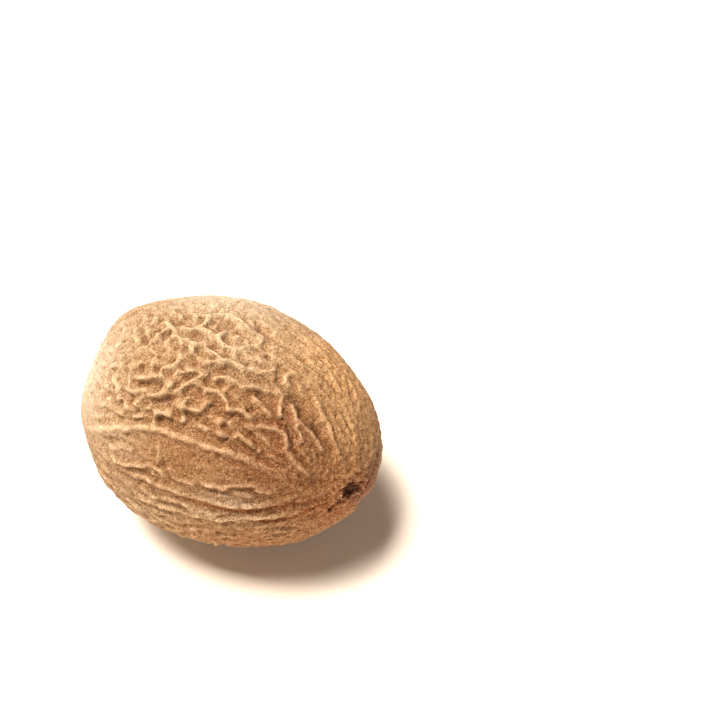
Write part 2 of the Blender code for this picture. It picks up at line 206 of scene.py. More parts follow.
# Small deep pits: station, angle, radius in millimetres.
PITS = (
    (124, -5.5, 0.30), (116, -12.5, 0.34), (113, -12, 0.32), (108.5, -7, 0.28), (100.5, -15.5, 0.40),
    (97.5, -16, 0.32),
    (94, -14.5, 0.38), (91, -14, 0.34), (129, 0, 0.28), (124.5, 16.5, 0.30), (127, 2.5, 0.32),
    (88, -23, 0.30), (80, -9, 0.26), (75, -7, 0.24), (112.5, 3, 0.26), (117.5, 6, 0.30),
    (118, 9, 0.26), (111.5, 9.5, 0.24), (103.5, 8.5, 0.30), (100.5, -2.5, 0.30), (94.5, 0.5, 0.24),
    (93, 8, 0.34),
    (107, 12.5, 0.26), (117, 15.5, 0.30), (124, 18.5, 0.26), (104, 16, 0.34), (92, 14.5, 0.28),
    (108, 28, 0.30),
    (124, 36, 0.30), (129, 38, 0.26), (103, 34, 0.28), (93, 38, 0.24), (84, 45.5, 0.24), (58, 19, 0.24),
)
PIT_STEEPNESS = 0.64    # depth for each millimetre of radius

# The raphe: two furrows side by side. The upper one lies in a shallow valley with a lip
# over it. Towards the broad end it almost dies out, and a low lip and valley go on.
RAPHE_DEPTH = 0.10 * MM
RAPHE_HALF_WIDTH = 0.20 * MM
RAPHE_LIP = 0.10 * MM
RAPHE_LIP_OFFSET = 0.60 * MM
RAPHE_VALLEY = 0.05 * MM
RAPHE_VALLEY_HALF_WIDTH = 0.50 * MM
RAPHE_UPPER = ((40, 66), (47, 68.5), (53, 69), (58.5, 70.5), (64, 72.5), (72, 74.5), (88, 73.5),
               (102, 74), (118, 77), (134, 83), (150, 99), (161, 121))
RAPHE_DYING = (0.34, 0.50)      # share of the route between which the furrow dies out
RAPHE_REMNANT = 0.05            # share of its depth that is left
RAPHE_LIP_LOSS = 0.7            # shares of the lip and the valley that go with it
RAPHE_VALLEY_LOSS = 0.5
RAPHE_LOWER = ((33, 66), (36.5, 69), (40.5, 70.5), (44, 73), (47, 76), (51.5, 78.5), (56, 80),
               (61.5, 81), (69, 80.5))
RAPHE_LOWER_DEPTH = 0.14 * MM

# Where each noise is read.
SHIFTS = {
    "first": (0.0, 0.0, 0.0),
    "crests": (6.0, 2.0, 8.0),
    "stretched": (3.1, 7.7, 1.9),
    "even": (9.2, 3.3, 0.7),
    "ragged": (4.4, 1.3, 6.1),
    "scales": (2.2, 9.1, 3.7),
    "small wander": (3.0, 5.0, 9.0),
    "broad unevenness": (8.0, 1.0, 5.0),
    "small unevenness": (5.0, 8.0, 2.0),
    "lumps": (2.0, 4.0, 6.0),
    "streaks": (0.3, 0.6, 0.9),
    "streak strength": (6.0, 1.0, 4.0),
    "pores": (4.0, 4.0, 1.0),
}
# How far apart the three parts of a noise vector are read.
VECTOR_SHIFTS = ((0.0, 0.0, 0.0), (31.4, 7.1, 12.6), (5.8, 43.2, 21.9))
# How the chalaza's edge is made ragged, and how the routes wander from side to side:
# amount, size and noise.
RAGGEDNESS = (
    (0.22 * MM, 0.50 * MM, "ragged"),
    (0.20 * MM, 0.22 * MM, "first"),
)
WANDERS = (
    (0.10 * MM, 0.9 * MM, "first"),
    (0.12 * MM, 2.5 * MM, "first"),
    (0.05 * MM, 0.4 * MM, "small wander"),
)

# The wrinkles that cover the rest: rounded ridges that settle out of two noises, one
# stretched along the seed and one as long as it is wide, round the named folds.
WRINKLE_SPACING = 0.85 * MM
WRINKLE_LENGTH = 2.6 * MM
NET_SPACING = 0.80 * MM
WRINKLE_ROUGHNESS = 3.0
SETTLING = 3
RIDGE_CONTRAST = 3.2
RIDGE_SMOOTHING = 2
RIDGE_SLIMNESS = 1.8
RIDGE_BASE = 0.35
# Broad ridges, then slim ones: height, rounds of blur for the ridges and the valleys.
RIDGE_SIZES = (
    (0.13 * MM, 16, 112),
    (0.13 * MM, 7, 40),
)
# How firmly the named folds hold the ridges round them.
PIN_HEIGHT = 0.16 * MM
PIN_LIMIT = 1.5
# How unevenly high the ridges are: share, size and noise.
UNEVENNESS = (
    (0.9, 1.8 * MM, "broad unevenness"),
    (1.1, 0.75 * MM, "small unevenness"),
)
ROOM_GAIN = 1.25        # how soon the wrinkles reach full height away from the two ends
# The net of lines stays finite at the chalaza and the hilum.
POLE_LIMIT = 1e-6
END_LIMIT = 1e-4
# Where the skin is smooth, with the share of the wrinkles that is taken away.
SMOOTH_ZONES = (
    (118, -52, 0.42, 0.85),
    (148, -10, 0.32, 0.40),
    (75, -48, 0.40, 0.55),
    (55, -20, 0.45, 0.60),
    (40, 0, 0.30, 0.60),
    (95, 53, 0.22, 0.85),
    (78, 52, 0.18, 0.80),
    (112, 55, 0.18, 0.75),
    (60, 50, 0.18, 0.60),
    (158, 20, 0.30, 0.35),
    (150, 75, 0.35, 0.50),
    (122, 82, 0.35, 0.50),
    (85, 75, 0.30, 0.35),
    (25, 40, 0.45, 0.80),
    (172, 60, 0.30, 0.50),
    (85, 128, 0.45, 0.45),
    (45, 110, 0.40, 0.45),
    (15, -20, 0.50, 0.60),
    (60, -60, 0.50, 0.50),
)
# Where the wrinkles stand higher, with the share that is added.
BOLD_ZONES = (
    (126, -2, 0.36, 0.6),
    (110, -16, 0.26, 0.3),
    (140, 45, 0.35, 0.3),
    (90, -45, 0.35, 0.3),
)
# Where the wrinkles run every way.
NET_ZONES = (
    (115, -5, 0.45, 0.95),
    (128, 15, 0.40, 0.9),
    (94, -5, 0.40, 0.9),
    (80, 10, 0.35, 0.8),
    (105, 30, 0.35, 0.8),
    (65, 25, 0.30, 0.5),
    (85, 105, 0.45, 0.7),
    (130, 80, 0.35, 0.5),
)

STREAK_HEIGHT = 0.04 * MM
STREAK_SPACING = 0.64 * MM
STREAK_LENGTH = 3.0 * MM
STREAK_UNEVENNESS = 1.4
STREAK_UNEVEN_SIZE = 1.5 * MM
# Where the streaks are strong.
STREAK_ZONES = (
    (80, -50, 0.50, 1.0),
    (50, -25, 0.45, 1.0),
    (35, 5, 0.35, 0.8),
    (125, 85, 0.35, 0.7),
)
STREAK_GAIN = 1.5       # added to 1 where they are strong
LUMP_HEIGHT = 0.09 * MM
LUMP_SIZE = 3.2 * MM
# Crumbly skin, up to almost four times as coarse in some places.
CRUMBLY_ZONES = (
    (26, 78, 0.48, 1.0),
    (30, -10, 0.50, 0.6),
    (60, 105, 0.40, 0.55),
    (60, -45, 0.40, 0.35),
    (114, -4, 0.40, 0.38),
)
CRUMB_GAIN = 2.8
# Height, size and place in the noise of each kind of crumb.
CRUMBS = (
    (0.032 * MM, 0.46 * MM, (7.0, 7.0, 7.0)),
    (0.020 * MM, 0.25 * MM, (1.0, 8.0, 5.0)),
)
# Where the skin is rubbed and has fewer specks.
RUBBED_ZONES = (
    (108, -62, 0.42, 1.0),
    (162, 30, 0.36, 0.7),
)
# Pores, which lie where a noise of this size is above the threshold. On smooth skin they
# keep only a share of their depth.
PORE_DEPTH = 0.10 * MM
PORE_SIZE = 0.42 * MM
PORE_THRESHOLD = 0.22
PORE_EDGE = 0.25
PORE_LEAST = 0.4
PORE_REST = 0.6

# The relief that the skin's colour follows: name, rounds of blur that it is measured
# against, and the height that counts as 1.
RELIEF_KINDS = (
    ("fine", 27, 0.06 * MM),
    ("broad", 200, 0.16 * MM),
)
RELIEF_LIMIT = 1.5

# Colours of the skin, and the spots where each of them lies over the main one. Two spots are painted light
# that lifts shade.
HONEY = (0.212, 0.127, 0.063)
CREAM = (0.44, 0.370, 0.295)
SAND = (0.290, 0.203, 0.124)
AMBER = (0.345, 0.190, 0.082)
TAN = (0.150, 0.060, 0.018)
RUST = (0.20, 0.060, 0.011)
UMBER = (0.13, 0.034, 0.012)
TINTS = (
    # The SAND spot at (108, 98) lightens the low front, which the lamps leave darker: painted light.
    (SAND, ((128, 62, 0.27, 0.85), (108, -30, 0.34, 0.6), (88, -4, 0.22, 0.75), (72, -30, 0.30, 0.5),
            (150, -120, 0.60, 0.7), (108, 98, 0.30, 0.6), (82, 76, 0.26, 0.8))),
    # The CREAM spot at (71, 71) lightens the raphe's lip, which faces down and lies in shade: painted light.
    (CREAM, ((168, 30, 0.36, 0.8), (105, -60, 0.45, 0.7), (145, 14, 0.22, 0.20), (150, 60, 0.22, 0.15),
             (71, 71, 0.14, 0.45))),
    (AMBER, ((50, -35, 0.50, 0.9), (80, 100, 0.35, 0.5), (35, 15, 0.35, 0.8))),
    (TAN, ((92, 26, 0.30, 0.6), (66, 24, 0.38, 0.8), (68, 48, 0.36, 0.8), (98, 56, 0.30, 0.75),
           (45, 38, 0.34, 0.7), (118, 74, 0.24, 0.4), (52, 62, 0.24, 0.75), (75, 98, 0.30, 0.5))),
    (RUST, ((30, 80, 0.34, 0.8), (27, 90, 0.16, 0.5), (24, 62, 0.20, 0.6), (60, 115, 0.35, 0.5))),
    (UMBER, ((9, 62, 0.19, 0.95), (19, 74, 0.11, 0.8), (25, 59, 0.11, 0.6), (60, 24, 0.24, 0.3),
             (66, 48, 0.20, 0.3))),
)
# Brown dust and painted shade in the pits, which reach a little past their radius, and rust-brown painted
# shade along the raphe.
PIT_DUST_AND_SHADE = 0.5
PIT_DUST_AND_SHADE_REACH = 1.1
RAPHE_PAINTED_SHADE = 0.85
RAPHE_PAINTED_SHADE_HALF_WIDTH = 0.34 * MM
RAPHE_PAINTED_SHADE_START = 0.2          # share of each route over which the painted shade sets in
RAPHE_LOWER_CLEARING = (0.7, 1.0)       # share of the lower route between which it ends

# Dust and painted shade in the hollows, and rubbed crests and hills with painted highlight: how strongly the
# colour follows the relief.
FURROW_DUST_AND_SHADE = 0.10
FURROW_DUST_AND_SHADE_COLOUR = (0.66, 0.46, 0.27, 1.0)
VALLEY_DUST_AND_SHADE = 0.20
VALLEY_DUST_AND_SHADE_COLOUR = (0.72, 0.52, 0.32, 1.0)
CREST_START = 0.10
CREST_RUBBING_AND_HIGHLIGHT = 0.50
CREST_RUBBED_AND_HIGHLIGHT_COLOUR = (0.12, 0.092, 0.060, 1.0)
HILL_RUBBING_AND_HIGHLIGHT = 0.35
HILL_RUBBED_AND_HIGHLIGHT_COLOUR = (0.07, 0.056, 0.038, 1.0)
# Soft blotches, then specks. Each has its grain: size, detail and place in the noise.
BLOTCH_GRAIN = (0.9 * MM, 2.0, 3.0)
BLOTCH_START = 0.42
BLOTCH_GAIN = 3.0
BLOTCH_SHADE = (0.82, 0.78, 0.70, 1.0)
DARK_GRAIN = (0.13 * MM, 1.0, 1.0)
DARK_END = 0.48
DARK_GAIN = 9.0
DARK_SHADE = (0.59, 0.45, 0.30, 1.0)
PALE_GRAIN = (0.13 * MM, 1.0, 2.0)
PALE_START = 0.53
PALE_GAIN = 7.0
PALE_LIGHT = (0.11, 0.082, 0.050, 1.0)
# How much the specks crowd together in furrows, in valleys and on crumbly skin.
FURROW_CROWDING = 0.05
VALLEY_CROWDING = 0.03
CRUMBLY_CROWDING = 0.05
# The dark skin of the chalaza.
PIT_SHARE = 0.85
PIT_SHADE = (0.055, 0.018, 0.009, 1.0)
# The dull, faintly grainy surface.
SPECULAR = 0.10
DULLNESS_GRAIN = (0.5 * MM, 2.0, 4.0)
DULLNESS_LEAST = 0.66
DULLNESS_SPREAD = 0.2
GRAIN_STRENGTH = 0.8
GRAIN_HEIGHT = 0.13 * MM
GRAIN = (0.28 * MM, 3.0, 5.0, 0.6)      # with its roughness as well

# The studio. Each lamp has a name, a place, a size and a power in watts.
FLOOR_SIZE = 6.0
FLOOR_COLOUR = (0.92, 0.80, 0.68)
FLOOR_ROUGHNESS = 0.9
LAMPS = (
    ("key", (-0.31, 0.01, 0.80), 0.46, 28.0),
    ("fill", (0.25, -0.80, 0.07), 0.50, 6.0),
)
LAMP_COLOUR = (1.0, 0.96, 0.91)
SURROUND_COLOUR = (1.0, 0.84, 0.68, 1.0)
SURROUND_STRENGTH = 0.13

# The camera: azimuth and elevation in degrees, distance, and how far the seed's middle
# lies to the left of the middle of the view and below it.
AZIMUTH = 20.5
ELEVATION = 57.0
DISTANCE = 0.300
LEFT = 10.98 * MM
DOWN = 5.03 * MM
LENS = 176.5            # lens and sensor in millimetres
SENSOR_WIDTH = 36.0
NEAREST = 0.01
FARTHEST = 20.0


def direction(station, angle):
    """Unit vector towards a place, given in degrees."""
    s, a = math.radians(station), math.radians(angle)
    return np.array((math.cos(s), -math.sin(s) * math.sin(a), math.sin(s) * math.cos(a)))


def egg(u):
    """Points of the smooth egg shape in the directions u."""
    ring = np.hypot(u[:, 1], u[:, 2])
    girth = ring ** SHOULDER * (1.0 - TAPER * u[:, 0])
    across, up = HALF_WIDTH * girth * u[:, 1], HALF_HEIGHT * girth * u[:, 2]
    return np.column_stack((HALF_LENGTH * u[:, 0], across, up))


def place_on_egg(station, angle):
    """The point of the smooth egg shape at a place."""
    return egg(direction(station, angle)[None])[0]


def outward(points):
    """Unit normals of the smooth egg shape at its points."""
    normal = points / np.array((HALF_LENGTH, HALF_WIDTH, HALF_HEIGHT)) ** 2
    return normal / np.linalg.norm(normal, axis=1)[:, None]


def bump(u, station, angle, reach):
    """Soft round bump of height 1, as wide as reach in radians."""
    return np.exp(-2.0 * (1.0 - u @ direction(station, angle)) / reach ** 2)


def zone(u, spots):
    """Union of soft spots, from 0 to their greatest share."""
    open_share = np.ones(len(u))
    for station, angle, reach, share in spots:
        open_share *= 1.0 - share * bump(u, station, angle, reach)
    return 1.0 - open_share


def groove(gap, half_width):
    """Soft ridge of height 1 where the gap is 0."""
    return np.exp(-(gap / half_width) ** 2)


def disc(gap, radius, edge):
    """1 inside the radius and 0 outside it, with a soft edge."""
    return 1.0 / (1.0 + np.exp((gap - radius) / edge))


def noise_at(places, shift):
    """Smooth noise from -1 to 1 at each place, read at a shift."""
    shift = Vector(shift)
    return np.array([noise.noise(Vector(place) + shift) for place in places])


def noise_vector_at(places, shift):
    """Three unlike noises at each place, as the parts of a vector."""
    return np.column_stack([noise_at(places, np.add(shift, other)) for other in VECTOR_SHIFTS])


def smooth_route(places):
    """Points on the egg along a smooth curve through the places."""
    p = np.array([places[0], *places, places[-1]], float)
    ways = []
    for a, b, c, d in zip(p, p[1:], p[2:], p[3:]):
        for t in np.arange(ROUTE_STEPS) / ROUTE_STEPS:
            ways.append(0.5 * (2 * b + (c - a) * t + (2 * a - 5 * b + 4 * c - d) * t ** 2
                               + (3 * b - a - 3 * c + d) * t ** 3))
    ways.append(p[-1])
    return egg(np.array([direction(*way) for way in ways]))


def along_route(points, normals, places):
    """For each point: its signed distance from the route, and how far along it lies (0 to 1)."""
    route = smooth_route(places)
    lengths = np.linalg.norm(np.diff(route, axis=0), axis=1)
    starts = np.concatenate(((0.0,), np.cumsum(lengths)))
    best = np.full(len(points), FAR)
    side = np.ones(len(points))
    share = np.zeros(len(points))
    middle = 0.5 * (route.min(axis=0) + route.max(axis=0))
    reach = np.linalg.norm(route - middle, axis=1).max() + ROUTE_MARGIN
    close = np.flatnonzero(np.linalg.norm(points - middle, axis=1) < reach)
    spots, spot_normals = points[close], normals[close]
    for a, b, length, start in zip(route, route[1:], lengths, starts):
        way = (b - a) / length
        offset = spots - a
        t = np.clip(offset @ way, 0.0, length)
        gap = np.linalg.norm(offset - t[:, None] * way, axis=1)
        near = gap < best[close]
        chosen = close[near]
        best[chosen] = gap[near]
        # Routes run from a high station to a low one, so this side faces larger angles.
        side[chosen] = -np.sign(np.einsum("ij,ij->i", np.cross(way, offset[near]), spot_normals[near]))
        share[chosen] = (start + t[near]) / starts[-1]
    return best * side, share


def faded(share, end):
    """1 along the middle of a route, falling to 0 at its two ends."""
    return np.clip(np.minimum(share, 1.0 - share) / end, 0.0, 1.0) ** FADE_POWER


def folds(points, normals):
    """Height of the named folds and pits."""
    height = np.zeros(len(points))
    uneven = 1.0 + CREST_UNEVENNESS * noise_at(points / CREST_UNEVEN_SIZE, SHIFTS["crests"])
    for crest, half_width, side, depth, places in FOLDS:
        gap, share = along_route(points, normals, places)
        gap /= MM
        strength = faded(share, FOLD_FADE) * uneven
        slim = SLIMNESS * half_width
        shape = CREST_CORE * groove(gap, slim) + CREST_SKIRT * groove(gap, SKIRT_WIDTH * slim)
        height += crest * strength * shape
        if side:
            depth *= FURROW_SHARE * faded(share, FURROW_FADE)
            beside = gap - side * FURROW_OFFSET * half_width
            height -= depth * uneven * groove(beside, FURROW_WIDTH * half_width)
    for station, angle, radius in PITS:
        gap = np.linalg.norm(points - place_on_egg(station, angle), axis=1) / MM
        height -= PIT_STEEPNESS * radius * groove(gap, radius)
    return FOLD_SHARE * height * MM


def raphe(points, normals):
    """The double furrow from the chalaza to the hilum."""
    gap, share = along_route(points, normals, RAPHE_UPPER[::-1])
    begin, end = RAPHE_DYING
    dying = np.clip((1.0 - share - begin) / (end - begin), 0.0, 1.0)
    height = RAPHE_LIP * (1.0 - RAPHE_LIP_LOSS * dying) * groove(gap + RAPHE_LIP_OFFSET, RAPHE_HALF_WIDTH)
    height -= RAPHE_DEPTH * (1.0 - (1.0 - RAPHE_REMNANT) * dying) * groove(gap, RAPHE_HALF_WIDTH)
    height -= RAPHE_VALLEY * (1.0 - RAPHE_VALLEY_LOSS * dying) * groove(gap, RAPHE_VALLEY_HALF_WIDTH)
    height *= faded(share, RAPHE_FADE)
    gap, share = along_route(points, normals, RAPHE_LOWER[::-1])
    return height - RAPHE_LOWER_DEPTH * faded(share, RAPHE_LOWER_FADE) * groove(gap, RAPHE_HALF_WIDTH)


def flow(u):
    """How far along and round each direction lies in a net of lines from chalaza to hilum."""
    pole = direction(*CHALAZA)
    east = np.cross(pole, (0.0, 0.0, 1.0))
    east /= np.linalg.norm(east)
    north = np.cross(pole, east)

    def flat(v):
        """The directions on a plane, seen from the chalaza."""
        return (v @ east + 1j * (v @ north)) / np.maximum(1.0 - v @ pole, POLE_LIMIT)

    z = flat(u) - flat(direction(*HILUM)[None])
    return np.log(np.maximum(np.abs(z), END_LIMIT)), np.angle(z)


def room(u):
    """Width of the net's meshes in each direction, from 0 at its two ends to about 1 between them."""
    first, last = direction(*CHALAZA), direction(*HILUM)
    return np.linalg.norm(u - first, axis=1) * np.linalg.norm(u - last, axis=1) / np.linalg.norm(first - last)


def flow_places(u, across, lengthwise):
    """Places for a noise that is stretched along the flow, with the given sizes in metres."""
    along, around = flow(u)
    ring = HALF_WIDTH / across
    return np.column_stack((ring * np.cos(around), ring * np.sin(around), HALF_LENGTH / lengthwise * along))


def rough_skin(u, smooth):
    """The noise that the wrinkles settle out of."""
    stretched = noise_at(flow_places(u, WRINKLE_SPACING, WRINKLE_LENGTH), SHIFTS["stretched"])
    even = noise_at(smooth / NET_SPACING, SHIFTS["even"])
    share = zone(u, NET_ZONES)
    return WRINKLE_ROUGHNESS * (share * even + (1.0 - share) * stretched)


def crumpled(rough, pinned, near, ridge_blur, valley_blur):
    """Rounded ridges that settle out of rough values round the pinned ones."""
    ridges = rough
    for _ in range(SETTLING):
        slim = blurred(ridges, near, ridge_blur)
        ridges = np.tanh(RIDGE_CONTRAST * (slim - blurred(slim, near, valley_blur)) + pinned)
    return (0.5 + 0.5 * blurred(ridges, near, RIDGE_SMOOTHING)) ** RIDGE_SLIMNESS - RIDGE_BASE


def chalaza_gap(smooth):
    """Distance from the middle of the chalaza, made ragged."""
    ragged = sum(amount * noise_at(smooth / size, SHIFTS[name]) for amount, size, name in RAGGEDNESS)
    gap = np.linalg.norm(smooth - place_on_egg(*CHALAZA), axis=1)
    side_gap = np.linalg.norm(smooth - place_on_egg(*CHALAZA_SIDE), axis=1)
    return np.minimum(gap, side_gap + CHALAZA_SIDE_GAP) + ragged


def chalaza(u, smooth):
    """The dark pit near the narrow end, with its rim, the scaly skin and the puckers round it."""
    gap = chalaza_gap(smooth)
    height = CHALAZA_RIM_HEIGHT * groove(gap - CHALAZA_RIM_RADIUS, CHALAZA_RIM_HALF_WIDTH)
    height -= CHALAZA_DEPTH * disc(gap, CHALAZA_PIT_RADIUS, CHALAZA_PIT_EDGE)
    scaly = groove(gap - SCALES_RADIUS, SCALES_HALF_WIDTH)
    height += SCALES_HEIGHT * scaly * noise_at(smooth / SCALES_SIZE, SHIFTS["scales"])
    around = flow(u)[1]
    ring = groove(gap - PUCKER_RING_RADIUS, PUCKER_RING_HALF_WIDTH)
    return height + PUCKER_HEIGHT * ring * np.cos(PUCKERS * around)


def darkness(u):
    """How dark the skin is in each direction: 1 in the chalaza, less in the crack beside it."""
    smooth = egg(u)
    pit = disc(chalaza_gap(smooth), DARK_RADIUS, DARK_EDGE)
    gap, share = along_route(smooth, outward(smooth), CRACK)
    return np.maximum(pit, CRACK_DARKNESS * faded(share, CRACK_FADE) * groove(gap, CRACK_HALF_WIDTH))


def hilum(points):
    """The low round scar at the broad end, with a dimple in its middle."""
    gap = np.linalg.norm(points - place_on_egg(*HILUM), axis=1)
    scar = HILUM_HEIGHT * disc(gap, HILUM_RADIUS, HILUM_EDGE)
    return scar - HILUM_DIMPLE_DEPTH * groove(gap, HILUM_DIMPLE_RADIUS)


def with_wrinkles(named, u, smooth, near, calm):
    """The relief of the named folds, and the ridges that settle round it."""
    rough = rough_skin(u, smooth)
    pinned = np.clip(named / PIN_HEIGHT, -PIN_LIMIT, PIN_LIMIT)
    uneven = calm * (1.0 + zone(u, BOLD_ZONES))
    for share, size, name in UNEVENNESS:
        uneven *= 1.0 + share * noise_at(smooth / size, SHIFTS[name])
    relief = named
    for height, ridge_blur, valley_blur in RIDGE_SIZES:
        relief = relief + height * uneven * crumpled(rough, pinned, near, ridge_blur, valley_blur)
    return relief


def with_fine_relief(relief, u, smooth, calm):
    """The relief with lumps, streaks, crumbs and pores."""
    relief = relief + LUMP_HEIGHT * noise_at(smooth / LUMP_SIZE, SHIFTS["lumps"])
    streaks = noise_at(flow_places(u, STREAK_SPACING, STREAK_LENGTH), SHIFTS["streaks"])
    strength = noise_at(smooth / STREAK_UNEVEN_SIZE, SHIFTS["streak strength"])
    streaks *= (1.0 + STREAK_GAIN * zone(u, STREAK_ZONES)) * (1.0 + STREAK_UNEVENNESS * strength)
    relief += STREAK_HEIGHT * streaks * np.minimum(1.0, room(u))
    coarse = 1.0 + CRUMB_GAIN * zone(u, CRUMBLY_ZONES)
    for height, size, shift in CRUMBS:
        relief += height * coarse * noise_at(smooth / size, shift)
    pores = noise_at(smooth / PORE_SIZE, SHIFTS["pores"])
    depth = PORE_DEPTH * (PORE_LEAST + PORE_REST * calm)
    return relief - depth * np.clip((pores - PORE_THRESHOLD) / PORE_EDGE, 0.0, 1.0)


def surface(u, near):
    """Points of the finished seed in the directions u, tilted as it lies, and its relief."""
    smooth = egg(u)
    normals = outward(smooth)
    points = smooth.copy()
    for station, angle, height, reach in SWELLINGS:
        points += height * u * bump(u, station, angle, reach)[:, None]
    wander = sum(amount * noise_vector_at(smooth / size, SHIFTS[name]) for amount, size, name in WANDERS)
    wandered = smooth + wander
    named = folds(wandered, normals) + raphe(wandered, normals) + chalaza(u, smooth) + hilum(smooth)
    calm = (1.0 - zone(u, SMOOTH_ZONES)) * np.minimum(1.0, ROOM_GAIN * room(u))
    relief = with_fine_relief(with_wrinkles(named, u, smooth, near, calm), u, smooth, calm)
    relief *= 1.0 - bump(u, *SPOT_PLACE, SPOT_CALM_REACH)
    points += relief[:, None] * normals
    c, s = math.cos(TILT), math.sin(TILT)
    return points @ np.array(((c, 0.0, s), (0.0, 1.0, 0.0), (-s, 0.0, c))).T, relief


def blown_up_cube(grid):
    """A ball of even squares: a subdivided cube whose points are pushed out to radius 1."""
    bm = bmesh.new()
    bmesh.ops.create_cube(bm, size=2.0)
    bmesh.ops.subdivide_edges(bm, edges=bm.edges[:], cuts=grid - 1, use_grid_fill=True)
    for vertex in bm.verts:
        even = [math.tan(value * math.pi / 4) for value in vertex.co]
        vertex.co = Vector(even).normalized()
    return bm


def neighbours(edges, count):
    """The four neighbours of each point, of which a corner of the cube repeats itself."""
    ends = np.concatenate((edges, edges[:, ::-1]))
    ends = ends[np.argsort(ends[:, 0], kind="stable")]
    place = np.arange(len(ends)) - np.searchsorted(ends[:, 0], ends[:, 0])
    near = np.tile(np.arange(count)[:, None], 4)
    near[ends[:, 0], place] = ends[:, 1]
    return near


def blurred(values, near, rounds):
    """The values, each averaged again and again: half its own, an eighth each neighbour's."""
    for _ in range(rounds):
        values = 0.5 * values + 0.125 * values[near].sum(axis=1)
    return values


def tint(u):
    """The skin's colour in each direction, with painted shade in the pits, partly brown dust, and along the
    raphe.
    """
    colour = np.tile(HONEY, (len(u), 1))
    for shade, spots in TINTS:
        share = zone(u, spots)[:, None]
        colour += share * (shade - colour)
    smooth = egg(u)
    # The pits are darkened towards tan: painted shade, partly brown dust.
    for station, angle, radius in PITS:
        gap = np.linalg.norm(smooth - place_on_egg(station, angle), axis=1) / MM
        colour += (PIT_DUST_AND_SHADE * groove(gap, PIT_DUST_AND_SHADE_REACH * radius))[:, None] * (TAN - colour)
    # Rust-brown painted shade along the raphe's furrows.
    for route, (begin, end) in ((RAPHE_UPPER, RAPHE_DYING), (RAPHE_LOWER, RAPHE_LOWER_CLEARING)):
        gap, share = along_route(smooth, outward(smooth), route[::-1])
        share = 1.0 - share
        painted_shade = np.clip(share / RAPHE_PAINTED_SHADE_START, 0.0, 1.0) * np.clip((end - share) / (end - begin), 0.0, 1.0)
        colour += (RAPHE_PAINTED_SHADE * painted_shade * groove(gap, RAPHE_PAINTED_SHADE_HALF_WIDTH))[:, None] * (RUST - colour)
    return colour


def store(mesh, name, values):
    """Keeps a number for each point under a name that the material reads."""
    attribute = mesh.attributes.new(name, "FLOAT", "POINT")
    attribute.data.foreach_set("value", np.asarray(values, np.float32))


def store_colour(mesh, name, colours):
    """Keeps a colour for each point under a name that the material reads."""
    attribute = mesh.attributes.new(name, "FLOAT_COLOR", "POINT")
    rgba = np.column_stack((colours, np.ones(len(colours))))
    attribute.data.foreach_set("color", rgba.astype(np.float32).ravel())


def solid_box():
    """The lowest and the highest corner of the solid."""
    return [np.array(corner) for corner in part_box("nutmeg")]


def fitted(points):
    """The points scaled to the solid's box, with the flat spot cut, and where the egg's middle went."""
    spot_depth = SPOT_RADIUS ** 2 / (HALF_WIDTH + HALF_LENGTH)
    low, high = points.min(axis=0), points.max(axis=0)
    low = low + (0.0, 0.0, spot_depth)
    solid_low, solid_high = solid_box()
    scale = (solid_high - solid_low) / (high - low)
    points = solid_low + (points - low) * scale
    points[:, 2] = np.maximum(points[:, 2], solid_low[2])
    return points, solid_low - low * scale


def seed_mesh():
    """The fine mesh of the seed inside the solid's box, and where the egg's middle went."""
    bm = blown_up_cube(GRID)
    mesh = bpy.data.meshes.new("nutmeg_skin")
    bm.to_mesh(mesh)
    bm.free()
    u = np.empty(3 * len(mesh.vertices), np.float32)
    mesh.vertices.foreach_get("co", u)
    u = u.reshape(-1, 3).astype(float)
    u /= np.linalg.norm(u, axis=1)[:, None]
    edges = np.empty(2 * len(mesh.edges), np.int32)
    mesh.edges.foreach_get("vertices", edges)
    near = neighbours(edges.reshape(-1, 2), len(u))
    points, relief = surface(u, near)
    points, middle = fitted(points)
    mesh.vertices.foreach_set("co", points.astype(np.float32).ravel())
    mesh.update()
    for name, rounds, height in RELIEF_KINDS:
        values = (relief - blurred(relief, near, rounds)) / height
        store(mesh, name, np.clip(values, -RELIEF_LIMIT, RELIEF_LIMIT))
    store_colour(mesh, "tint", tint(u))
    store(mesh, "crumbly", zone(u, CRUMBLY_ZONES) - zone(u, RUBBED_ZONES))
    store(mesh, "pit", darkness(u))
    return mesh, middle


def with_fewer_faces(mesh, name):
    """The mesh thinned out where it is smoothest and kept in the solid's box, as an object."""
    whole = bpy.data.objects.new(name, mesh)
    bpy.context.scene.collection.objects.link(whole)
    fewer = whole.modifiers.new("fewer_faces", "DECIMATE")
    fewer.ratio = FACES / (2 * len(mesh.polygons))
    fewer.use_collapse_triangulate = True
    thinned = bpy.data.meshes.new_from_object(whole.evaluated_get(bpy.context.evaluated_depsgraph_get()))
    whole.modifiers.clear()
    whole.data = thinned
    bpy.data.meshes.remove(mesh)
    thinned.name = name
    thinned.shade_smooth()
    points = np.empty(3 * len(thinned.vertices), np.float32)
    thinned.vertices.foreach_get("co", points)
    low, high = (corner.astype(np.float32) for corner in solid_box())
    points = np.clip(points.reshape(-1, 3), low, high)
    thinned.vertices.foreach_set("co", points.ravel())
    thinned.update()
    return whole


